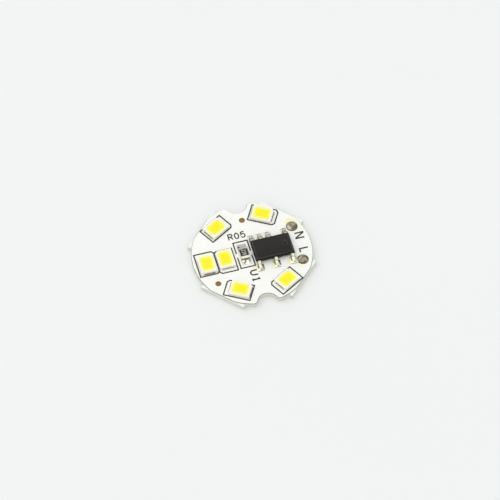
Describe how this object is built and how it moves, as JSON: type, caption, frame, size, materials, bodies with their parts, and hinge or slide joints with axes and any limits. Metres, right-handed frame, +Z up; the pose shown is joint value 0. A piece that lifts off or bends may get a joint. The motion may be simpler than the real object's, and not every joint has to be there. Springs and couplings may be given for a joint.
{
  "type": "round led board",
  "caption": "Small round aluminium circuit board with notched rim, white face, yellow surface-mount LEDs, a driver chip and solder pads for the mains wires.",
  "frame": {"origin": "middle of the bare underside", "axes": "+X along the driver chip towards the wire pads, +Y towards the far screw notch, +Z up out of the lit face"},
  "size_m": [0.018, 0.0178, 0.0021],
  "materials": {
    "plate_metal": "milled and snapped edges",
    "insulation": "filled resin",
    "copper": "bare foil, slightly dulled",
    "white_mask": "smooth printed coating",
    "black_ink": "screen print",
    "white_housing": "moulded",
    "terminal_tin": "tin plate",
    "die": "polished",
    "phosphor": "clear resin with yellow powder",
    "black_mould": "fine eroded texture",
    "white_ceramic": "fired",
    "black_coat": "glazed",
    "solder": "reflowed, part bright and part dull"
  },
  "bodies": {
    "root": {"base_plate": "plate_metal", "insulation_layer": "insulation", "copper_tracks": "copper", "copper_dots": "copper", "solder_mask": "white_mask", "legend_frames": "black_ink", "led_1_housing": "white_housing", "led_2_housing": "white_housing", "led_3_housing": "white_housing", "led_4_housing": "white_housing", "led_5_housing": "white_housing", "led_6_housing": "white_housing", "led_1_anode": "terminal_tin", "led_2_anode": "terminal_tin", "led_3_anode": "terminal_tin", "led_4_anode": "terminal_tin", "led_5_anode": "terminal_tin", "led_6_anode": "terminal_tin", "led_1_cathode": "terminal_tin", "led_2_cathode": "terminal_tin", "led_3_cathode": "terminal_tin", "led_4_cathode": "terminal_tin", "led_5_cathode": "terminal_tin", "led_6_cathode": "terminal_tin", "led_1_die": "die", "led_2_die": "die", "led_3_die": "die", "led_4_die": "die", "led_5_die": "die", "led_6_die": "die", "led_1_phosphor": "phosphor", "led_2_phosphor": "phosphor", "led_3_phosphor": "phosphor", "led_4_phosphor": "phosphor", "led_5_phosphor": "phosphor", "led_6_phosphor": "phosphor", "chip_body": "black_mould", "chip_lead_1": "terminal_tin", "chip_lead_2": "terminal_tin", "chip_lead_3": "terminal_tin", "chip_lead_4": "terminal_tin", "chip_lead_5": "terminal_tin", "chip_lead_6": "terminal_tin", "chip_lead_7": "terminal_tin", "resistor_core": "white_ceramic", "resistor_coat": "black_coat", "resistor_end_far": "terminal_tin", "resistor_end_near": "terminal_tin", "led_solder": "solder", "chip_solder": "solder", "resistor_solder": "solder", "line_pad_solder": "solder", "neutral_pad_solder": "solder"}
  },
  "joints": []
}
